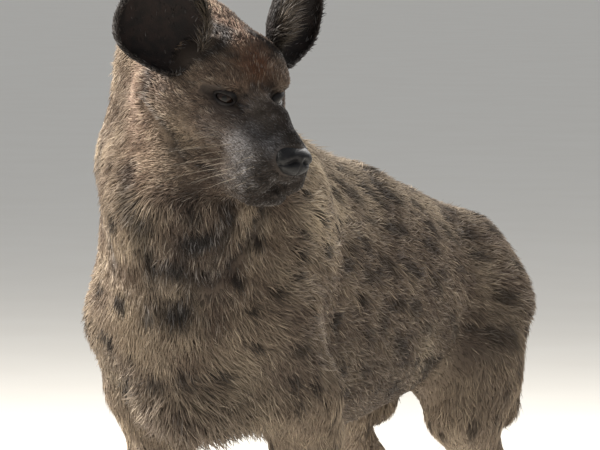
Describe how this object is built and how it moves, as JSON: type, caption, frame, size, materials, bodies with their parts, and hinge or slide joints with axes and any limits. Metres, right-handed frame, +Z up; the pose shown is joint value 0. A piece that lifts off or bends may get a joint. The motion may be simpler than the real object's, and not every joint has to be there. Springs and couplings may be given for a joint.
{
  "type": "spotted hyena",
  "caption": "Life-size standing spotted hyena with sloping back, raised head turned to its left, round ears and blunt muzzle, as a still museum model.",
  "frame": {"origin": "middle of the whole box's bottom face, on the floor under the animal", "axes": "+Z up, the body faces -Y, the animal's left is +X; the head is turned about 65 degrees towards +X"},
  "size_m": [0.3798, 1.0992, 1.0039],
  "materials": {
    "coat": "rough spotted fur",
    "dark_coat": "dark short fur",
    "ear": "dark short fur",
    "nose": "moist bare skin",
    "eye": "wet and shiny"
  },
  "bodies": {
    "root": {"torso": "coat", "neck": "coat", "head": "coat", "nose": "nose", "eye_left": "eye", "ear_left": "ear", "foreleg_left": "coat", "forepaw_left": "dark_coat", "thigh_left": "coat", "hindfoot_left": "dark_coat", "eye_right": "eye", "ear_right": "ear", "foreleg_right": "coat", "forepaw_right": "dark_coat", "thigh_right": "coat", "hindfoot_right": "dark_coat", "tail": "coat"}
  },
  "joints": []
}
